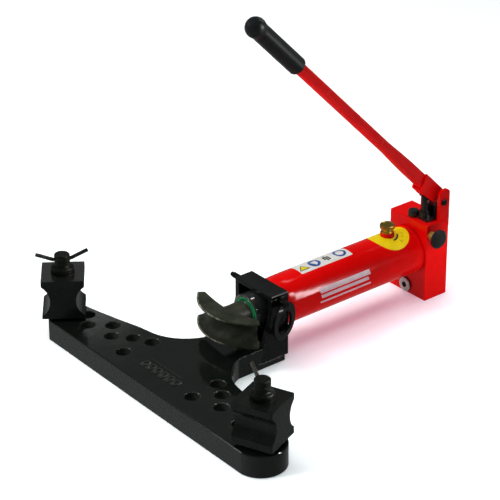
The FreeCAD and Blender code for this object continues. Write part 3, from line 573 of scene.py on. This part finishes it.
def on_wing(name, loops, thick, mat):
    """Raised mark cast on top of the wing.  Outline points are in millimetres."""
    mesh = flat_mesh(name, loops, thick, -0.02)
    mesh.transform(Matrix.Translation((0, 0, WING_TOP)) @ Matrix.Scale(MM, 4))
    return add_piece(name, mesh, mat, "frame")


def digit(letters, x, y):
    """Outlines of a seven-segment number whose lower left corner is at x, y."""
    strokes = {"a": (0, 3, 5.2, 6), "b": (2.2, 3, 3, 6), "c": (2.2, 3, 0, 3), "d": (0, 3, 0, 0.8),
               "e": (0, 0.8, 0, 3), "f": (0, 0.8, 3, 6), "g": (0, 3, 2.6, 3.4)}
    loops = []
    for key in letters:
        x0, x1, y0, y1 = (v * DIGIT_SCALE for v in strokes[key])
        loops.append(rect(x + x0, x + x1, y + y0, y + y1))
    return loops


def cast_marks():
    """A plain raised line and bars in mid-wing, and a number by each pair of holes."""
    on_wing("wing_line", [rect(-45.5, 43.0, 16.6, 18.9, 0.8)], MARK_RISE, mark_black)
    for i in range(6):
        x = -43.5 + 16.2 * i
        bar = rect(x, x + 11.5, -7.6, 11.6, 2.2)
        inside = rect(x + 3.2, x + 8.3, -4.4, 8.4, 1.2)
        on_wing("wing_bar_%d" % i, [bar, inside], MARK_RISE, mark_black)
    spots = pin_holes()
    for k, letters in enumerate(("bc", "abged", "abgcd", "fgbc", "afgcd", "afgecd", "abc")):
        for side in (0, 1):
            x, y = spots[2 * k + side] * 1000
            for n, loop in enumerate(digit(letters, x - 2, y - 22)):
                # each stroke stands a hair above the last, so that crossings do not share a face
                on_wing("hole_number_%d_%d_%d" % (k + 1, side, n), [loop],
                        DIGIT_RISE + 0.002 * n, mark_black)


def painted_ring_glint():
    """Short bright zinc bar on the pull ring above its hole, a painted highlight on the ring."""
    joints = frame["record"]["behaviour"]["joints"]
    joint = next(j for j in joints if j["name"] == "pull_ring_swing")
    out = Vector(joint["axis"]).normalized()
    up = Vector((0, 0, 1))
    along = up.cross(out)
    mesh = flat_mesh("ring_glint_bar", [rect(-6.0, 6.0, -1.3, 1.3, 1.2)], 0.5)
    place = (Matrix((along, up, out)).transposed().to_4x4()
             @ Matrix.Rotation(math.radians(-14), 4, "Z") @ Matrix.Scale(MM, 4))
    spot = Vector(joint["pos_m"]) + out * 0.0022 - along * 0.0125 - up * 0.0040
    mesh.transform(Matrix.Translation(spot) @ place)
    add_piece("ring_glint_bar", mesh, zinc, "pull_ring")


# ---------------------------------------------------------- floor, light, camera
def floor():
    """White glowing floor, with a painted pink reflection of the red cylinder beside and under it.
    """
    bm = bmesh.new()
    bmesh.ops.create_grid(bm, x_segments=8, y_segments=8, size=9.0)
    mesh = bpy.data.meshes.new("studio_floor")
    bm.to_mesh(mesh)
    bm.free()
    obj = bpy.data.objects.new("studio_floor", mesh)
    bpy.context.scene.collection.objects.link(obj)
    g = Graph("floor_white_painted_reflection", Specular_IOR_Level=0.2)
    # painted reflection: the floor's glow turns pink in a band beside and under the red cylinder
    beside = g.calc("ABSOLUTE", g.calc("SUBTRACT", g.part("X"), 0.12))
    near = g.calc("SUBTRACT", 1.0, g.steps(beside, 0.06, 0.36))
    behind = g.calc("SUBTRACT", 1.0, g.steps(g.part("Y"), 0.52, 0.72))
    along = g.calc("MULTIPLY", g.steps(g.part("Y"), 0.16, 0.30), behind)
    floor_glow_painted_reflection = g.blend(g.calc("MULTIPLY", near, along), (0.86, 0.98, 1.0), (1.0, 0.66, 0.86))
    g.plug(g.shader.inputs["Emission Color"], floor_glow_painted_reflection)
    g.shader.inputs["Emission Strength"].default_value = 0.36
    mesh.materials.append(g.done((0.90, 0.91, 0.92), 0.5))
    obj.visible_glossy = False


def area(name, place, target, size, watts, colour=(1, 1, 1), seen=True, lights=True, spread=180):
    """Area light; seen: it shows in gloss, lights: it lights matt surfaces, spread in degrees."""
    light = bpy.data.lights.new(name, "AREA")
    light.spread = math.radians(spread)
    light.shape = "RECTANGLE"
    light.size, light.size_y = size
    light.energy = watts
    light.color = colour
    obj = bpy.data.objects.new(name, light)
    bpy.context.scene.collection.objects.link(obj)
    obj.location = place
    obj.rotation_euler = (Vector(target) - Vector(place)).to_track_quat("-Z", "Y").to_euler()
    obj.visible_glossy = seen
    obj.visible_diffuse = lights


def lights():
    wing, ram = (0, 0, 0.04), (0.03, 0.24, 0.10)
    # light that the matt paint sees
    area("overhead", (-0.3, 0.2, 2.6), (0, 0.25, 0), (2.6, 2.6), 78, seen=False)
    area("key", (-0.81, -2.2, 1.75), (0, 0.2, 0.1), (0.7, 0.7), 52, seen=False)
    area("side", (1.9, 0.95, 0.62), (0.04, 0.61, 0.06), (0.10, 0.10), 0.085, seen=False, spread=9)
    # cards that only the gloss sees
    area("hole_glint", (-1.44, -1.31, 1.61), wing, (0.5, 0.5), 3, lights=False)
    area("sleeve_glint", (-0.28, 1.02, 1.33), (0.01, 0.204, 0.115), (0.30, 0.04), 0.6, lights=False)
    area("collar_glint", (-0.05, 1.47, 1.30), (0.021, 0.54, 0.129), (0.14, 0.14), 1.2, lights=False)
    area("strip", (1.45, 1.29, 0.74), ram, (0.14, 1.15), 20, (1, 0.95, 0.97), lights=False)
    area("left_card", (-2.48, 1.40, 1.24), (-0.27, 0.0, 0.04), (0.5, 0.5), 0.5)


def sky():
    """Dim grey surround, brighter below the horizon and towards -X."""
    world = bpy.data.worlds.new("studio")
    bpy.context.scene.world = world
    world.use_nodes = True
    tree = world.node_tree
    tree.nodes.clear()
    out = tree.nodes.new("ShaderNodeOutputWorld")
    back = tree.nodes.new("ShaderNodeBackground")
    ramp = tree.nodes.new("ShaderNodeValToRGB")
    split = tree.nodes.new("ShaderNodeSeparateXYZ")
    place = tree.nodes.new("ShaderNodeTexCoord")
    side = tree.nodes.new("ShaderNodeMapRange")
    for key, value in (("From Min", -0.7), ("From Max", 0.7), ("To Min", 1.15), ("To Max", 0.55)):
        side.inputs[key].default_value = value
    for source, target in ((place.outputs["Generated"], split.inputs[0]),
                           (split.outputs["Z"], ramp.inputs[0]),
                           (split.outputs["X"], side.inputs["Value"]),
                           (ramp.outputs[0], back.inputs[0]),
                           (side.outputs[0], back.inputs[1]),
                           (back.outputs[0], out.inputs[0])):
        tree.links.new(source, target)
    stops = ((0.0, 0.24), (0.06, 0.085), (0.50, 0.095), (0.90, 0.09))
    elements = ramp.color_ramp.elements
    elements[0].position, elements[1].position = stops[0][0], stops[-1][0]
    for height, _ in stops[1:-1]:
        elements.new(height)
    for element, (_, grey) in zip(elements, stops):
        element.color = (grey * 0.95, grey, grey * 0.97, 1)


def camera():
    data = bpy.data.cameras.new("camera")
    data.sensor_width = SENSOR_WIDTH
    data.lens = SENSOR_WIDTH * FOCAL_PER_WIDTH
    data.clip_end = 60.0
    obj = bpy.data.objects.new("camera", data)
    bpy.context.scene.collection.objects.link(obj)
    turn, rise, roll = (math.radians(v) for v in (CAMERA_TURN, CAMERA_RISE, CAMERA_ROLL))
    level = math.cos(rise)
    back = Vector((math.sin(turn) * level, -math.cos(turn) * level, math.sin(rise)))
    right = Vector((math.cos(turn), math.sin(turn), 0.0))
    up = back.cross(right)
    rolled_right = right * math.cos(roll) + up * math.sin(roll)
    rolled_up = up * math.cos(roll) - right * math.sin(roll)
    axes = Matrix((rolled_right, rolled_up, back)).transposed().to_4x4()
    obj.matrix_world = Matrix.Translation(CAMERA_PLACE) @ axes
    bpy.context.scene.camera = obj


finish_nodes()
labels()
cast_marks()
painted_ring_glint()
floor()
sky()
lights()
camera()
bpy.context.scene.view_settings.view_transform = "Standard"
